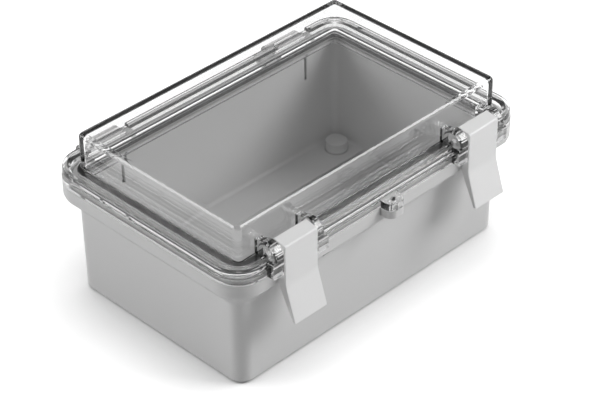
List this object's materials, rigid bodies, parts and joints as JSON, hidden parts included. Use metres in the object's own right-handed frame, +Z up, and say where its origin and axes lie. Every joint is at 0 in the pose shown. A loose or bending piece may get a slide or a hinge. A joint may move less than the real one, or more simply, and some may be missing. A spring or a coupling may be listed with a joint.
{
  "type": "hinged enclosure",
  "caption": "Moulded grey box with a clear domed lid hinged along the rear, swing latches in front, a sealing gasket and a seal eye.",
  "frame": {"origin": "middle of the flat underside of the base", "axes": "+X along the long side, -Y towards the latches, +Y towards the hinges, +Z up through the clear lid"},
  "size_m": [0.15, 0.1152, 0.069],
  "materials": {
    "grey_plastic": "fine moulded satin grey",
    "clear_plastic": "clear polished polycarbonate",
    "gasket_rubber": "soft dark seal",
    "latch_plastic": "satin light grey",
    "pin_steel": "drawn stainless pin"
  },
  "bodies": {
    "base": {"base": "grey_plastic", "hinge_pin_left": "pin_steel", "hinge_pin_right": "pin_steel"},
    "lid": {"lid": "clear_plastic", "gasket": "gasket_rubber", "latch_pin_left": "pin_steel", "latch_pin_right": "pin_steel"},
    "latch_left": {"latch_left": "latch_plastic"},
    "latch_right": {"latch_right": "latch_plastic"}
  },
  "joints": [
    {"name": "lid_hinge", "type": "hinge", "parent": "base", "child": "lid", "pos_m": [0, 0.0542, 0.046], "axis": [-1, 0, 0], "range_deg": [0, 180]},
    {"name": "latch_left_swing", "type": "hinge", "parent": "lid", "child": "latch_left", "pos_m": [-0.0476, -0.0483, 0.057], "axis": [-1, 0, 0], "range_deg": [0, 110]},
    {"name": "latch_right_swing", "type": "hinge", "parent": "lid", "child": "latch_right", "pos_m": [0.0476, -0.0483, 0.057], "axis": [-1, 0, 0], "range_deg": [0, 110]}
  ]
}
